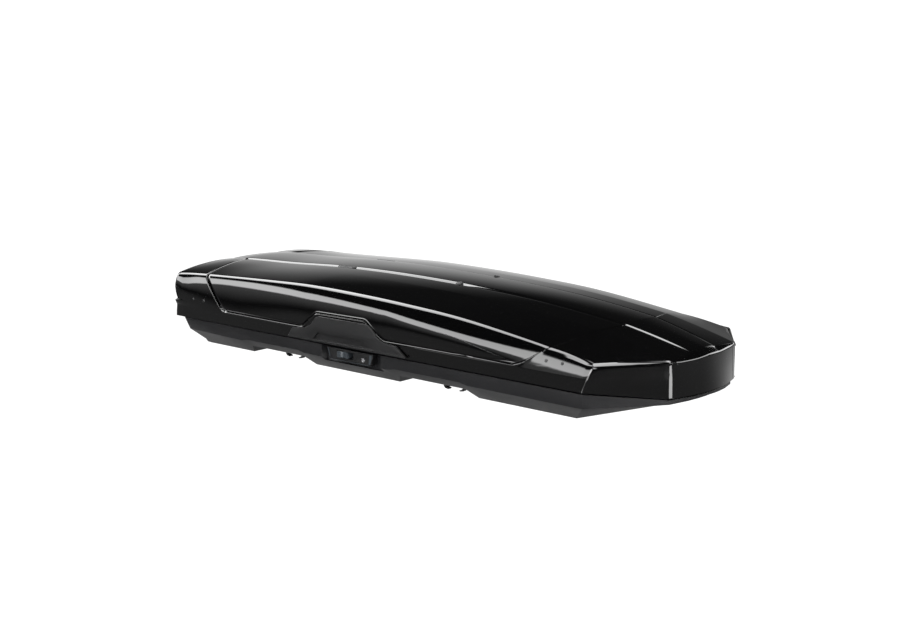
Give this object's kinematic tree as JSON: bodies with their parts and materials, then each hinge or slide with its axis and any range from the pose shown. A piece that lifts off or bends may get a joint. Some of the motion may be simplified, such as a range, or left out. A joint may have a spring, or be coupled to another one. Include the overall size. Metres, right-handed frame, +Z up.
{
  "type": "roof cargo box",
  "caption": "Long, low car roof box with a glossy lid that opens from either side, hinge claws, folding lifters, slide latches and crossbar clamps.",
  "frame": {"origin": "on the ground plane under the tray's feet, midway along and across the box", "axes": "+X towards the nose (the car's front), +Y to the car's left, +Z up"},
  "size_m": [2.35, 0.941, 0.36],
  "materials": {
    "gloss_black": "high gloss formed sheet",
    "textured_black": "fine pebbled grain",
    "moulded_black": "satin injection moulding",
    "slate_plastic": "satin",
    "chrome": "polished",
    "zinc_steel": "zinc plated",
    "black_steel": "black coated"
  },
  "bodies": {
    "base": {"base_tray": "textured_black", "lock_housing_right": "moulded_black", "lock_housing_left": "moulded_black", "lifter_post_rear": "zinc_steel", "lifter_post_front": "zinc_steel", "clamp_body_rear_right": "moulded_black", "clamp_body_rear_left": "moulded_black", "clamp_body_front_right": "moulded_black", "clamp_body_front_left": "moulded_black"},
    "hinge_claws_right": {"hinge_claw_right_rear": "moulded_black", "hinge_claw_right_middle": "moulded_black", "hinge_claw_right_front": "moulded_black"},
    "hinge_claws_left": {"hinge_claw_left_rear": "moulded_black", "hinge_claw_left_middle": "moulded_black", "hinge_claw_left_front": "moulded_black"},
    "lid": {"lid_shell": "gloss_black", "lid_beam_rear": "zinc_steel", "lid_beam_front": "zinc_steel", "grip_trim_right": "moulded_black", "grip_trim_left": "moulded_black", "groove_insert_long_right": "moulded_black", "groove_insert_long_left": "moulded_black", "groove_insert_short_right": "moulded_black", "groove_insert_short_left": "moulded_black", "hinge_rod_right": "zinc_steel", "hinge_rod_left": "zinc_steel", "lifter_hanger_rear": "zinc_steel", "lifter_hanger_front": "zinc_steel", "rivet_right_rear_outer": "black_steel", "rivet_right_rear_inner": "black_steel", "rivet_right_front_inner": "black_steel", "rivet_right_front_outer": "black_steel", "rivet_left_rear_outer": "black_steel", "rivet_left_rear_inner": "black_steel", "rivet_left_front_inner": "black_steel", "rivet_left_front_outer": "black_steel"},
    "base_arm_rear": {"lifter_base_arm_rear": "black_steel"},
    "lid_arm_rear": {"lifter_lid_arm_rear": "black_steel"},
    "base_arm_front": {"lifter_base_arm_front": "black_steel"},
    "lid_arm_front": {"lifter_lid_arm_front": "black_steel"},
    "latch_right": {"slide_button_right": "slate_plastic", "latch_rod_right": "zinc_steel"},
    "key_right": {"key_cylinder_right": "chrome"},
    "latch_left": {"slide_button_left": "slate_plastic", "latch_rod_left": "zinc_steel"},
    "key_left": {"key_cylinder_left": "chrome"},
    "knob_rear_right": {"clamp_knob_rear_right": "slate_plastic"},
    "jaw_rear_right_a": {"clamp_jaw_rear_right_a": "black_steel"},
    "jaw_rear_right_b": {"clamp_jaw_rear_right_b": "black_steel"},
    "knob_rear_left": {"clamp_knob_rear_left": "slate_plastic"},
    "jaw_rear_left_a": {"clamp_jaw_rear_left_a": "black_steel"},
    "jaw_rear_left_b": {"clamp_jaw_rear_left_b": "black_steel"},
    "knob_front_right": {"clamp_knob_front_right": "slate_plastic"},
    "jaw_front_right_a": {"clamp_jaw_front_right_a": "black_steel"},
    "jaw_front_right_b": {"clamp_jaw_front_right_b": "black_steel"},
    "knob_front_left": {"clamp_knob_front_left": "slate_plastic"},
    "jaw_front_left_a": {"clamp_jaw_front_left_a": "black_steel"},
    "jaw_front_left_b": {"clamp_jaw_front_left_b": "black_steel"}
  },
  "joints": [
    {"name": "open_from_right", "type": "hinge", "parent": "base", "child": "hinge_claws_right", "pos_m": [0, 0.445, 0.119], "axis": [-1, 0, 0], "range_deg": [0, 55]},
    {"name": "open_from_left", "type": "hinge", "parent": "hinge_claws_right", "child": "lid", "pos_m": [0, -0.445, 0.119], "axis": [1, 0, 0], "range_deg": [0, 55]},
    {"name": "left_claws_stay", "type": "hinge", "parent": "lid", "child": "hinge_claws_left", "pos_m": [0, 0.445, 0.119], "axis": [-1, 0, 0], "range_deg": [-55, 0]},
    {"name": "base_arm_pivot_rear", "type": "hinge", "parent": "base", "child": "base_arm_rear", "pos_m": [-0.954, 0, 0.119], "axis": [-1, 0, 0], "range_deg": [0, 55]},
    {"name": "lid_arm_pivot_rear", "type": "hinge", "parent": "lid", "child": "lid_arm_rear", "pos_m": [-0.949, 0, 0.119], "axis": [-1, 0, 0], "range_deg": [-55, 0]},
    {"name": "base_arm_pivot_front", "type": "hinge", "parent": "base", "child": "base_arm_front", "pos_m": [0.884, 0, 0.119], "axis": [-1, 0, 0], "range_deg": [0, 55]},
    {"name": "lid_arm_pivot_front", "type": "hinge", "parent": "lid", "child": "lid_arm_front", "pos_m": [0.889, 0, 0.119], "axis": [-1, 0, 0], "range_deg": [-55, 0]},
    {"name": "slide_right", "type": "slide", "parent": "base", "child": "latch_right", "axis": [1, 0, 0], "range_m": [0, 0.024], "stiffness_N_per_m": 120},
    {"name": "key_turn_right", "type": "hinge", "parent": "base", "child": "key_right", "pos_m": [-0.057, -0.4365, 0.074], "axis": [0, -1, 0], "range_deg": [0, 90]},
    {"name": "slide_left", "type": "slide", "parent": "base", "child": "latch_left", "axis": [1, 0, 0], "range_m": [0, 0.024], "stiffness_N_per_m": 120},
    {"name": "key_turn_left", "type": "hinge", "parent": "base", "child": "key_left", "pos_m": [-0.057, 0.4365, 0.074], "axis": [0, 1, 0], "range_deg": [0, 90]},
    {"name": "knob_turn_rear_right", "type": "hinge", "parent": "base", "child": "knob_rear_right", "pos_m": [-0.53, -0.352, 0.08], "axis": [0, 0, 1], "range_deg": [0, 720]},
    {"name": "jaw_pivot_rear_right_a", "type": "hinge", "parent": "base", "child": "jaw_rear_right_a", "pos_m": [-0.549, -0.352, 0.052], "axis": [0, 1, 0], "range_deg": [0, 16]},
    {"name": "jaw_pivot_rear_right_b", "type": "hinge", "parent": "base", "child": "jaw_rear_right_b", "pos_m": [-0.511, -0.352, 0.052], "axis": [0, -1, 0], "range_deg": [0, 16]},
    {"name": "knob_turn_rear_left", "type": "hinge", "parent": "base", "child": "knob_rear_left", "pos_m": [-0.53, 0.352, 0.08], "axis": [0, 0, 1], "range_deg": [0, 720]},
    {"name": "jaw_pivot_rear_left_a", "type": "hinge", "parent": "base", "child": "jaw_rear_left_a", "pos_m": [-0.549, 0.352, 0.052], "axis": [0, 1, 0], "range_deg": [0, 16]},
    {"name": "jaw_pivot_rear_left_b", "type": "hinge", "parent": "base", "child": "jaw_rear_left_b", "pos_m": [-0.511, 0.352, 0.052], "axis": [0, -1, 0], "range_deg": [0, 16]},
    {"name": "knob_turn_front_right", "type": "hinge", "parent": "base", "child": "knob_front_right", "pos_m": [0.32, -0.352, 0.08], "axis": [0, 0, 1], "range_deg": [0, 720]},
    {"name": "jaw_pivot_front_right_a", "type": "hinge", "parent": "base", "child": "jaw_front_right_a", "pos_m": [0.301, -0.352, 0.052], "axis": [0, 1, 0], "range_deg": [0, 16]},
    {"name": "jaw_pivot_front_right_b", "type": "hinge", "parent": "base", "child": "jaw_front_right_b", "pos_m": [0.339, -0.352, 0.052], "axis": [0, -1, 0], "range_deg": [0, 16]},
    {"name": "knob_turn_front_left", "type": "hinge", "parent": "base", "child": "knob_front_left", "pos_m": [0.32, 0.352, 0.08], "axis": [0, 0, 1], "range_deg": [0, 720]},
    {"name": "jaw_pivot_front_left_a", "type": "hinge", "parent": "base", "child": "jaw_front_left_a", "pos_m": [0.301, 0.352, 0.052], "axis": [0, 1, 0], "range_deg": [0, 16]},
    {"name": "jaw_pivot_front_left_b", "type": "hinge", "parent": "base", "child": "jaw_front_left_b", "pos_m": [0.339, 0.352, 0.052], "axis": [0, -1, 0], "range_deg": [0, 16]}
  ],
  "couplings": [
    {"joint": "left_claws_stay", "follows": "open_from_right", "ratio": -1},
    {"joint": "base_arm_pivot_rear", "follows": "open_from_right", "ratio": 1},
    {"joint": "lid_arm_pivot_rear", "follows": "open_from_right", "ratio": -1},
    {"joint": "base_arm_pivot_front", "follows": "open_from_right", "ratio": 1},
    {"joint": "lid_arm_pivot_front", "follows": "open_from_right", "ratio": -1},
    {"joint": "jaw_pivot_rear_right_a", "follows": "knob_turn_rear_right", "ratio": 0.022222},
    {"joint": "jaw_pivot_rear_right_b", "follows": "knob_turn_rear_right", "ratio": 0.022222},
    {"joint": "jaw_pivot_rear_left_a", "follows": "knob_turn_rear_left", "ratio": 0.022222},
    {"joint": "jaw_pivot_rear_left_b", "follows": "knob_turn_rear_left", "ratio": 0.022222},
    {"joint": "jaw_pivot_front_right_a", "follows": "knob_turn_front_right", "ratio": 0.022222},
    {"joint": "jaw_pivot_front_right_b", "follows": "knob_turn_front_right", "ratio": 0.022222},
    {"joint": "jaw_pivot_front_left_a", "follows": "knob_turn_front_left", "ratio": 0.022222},
    {"joint": "jaw_pivot_front_left_b", "follows": "knob_turn_front_left", "ratio": 0.022222}
  ]
}
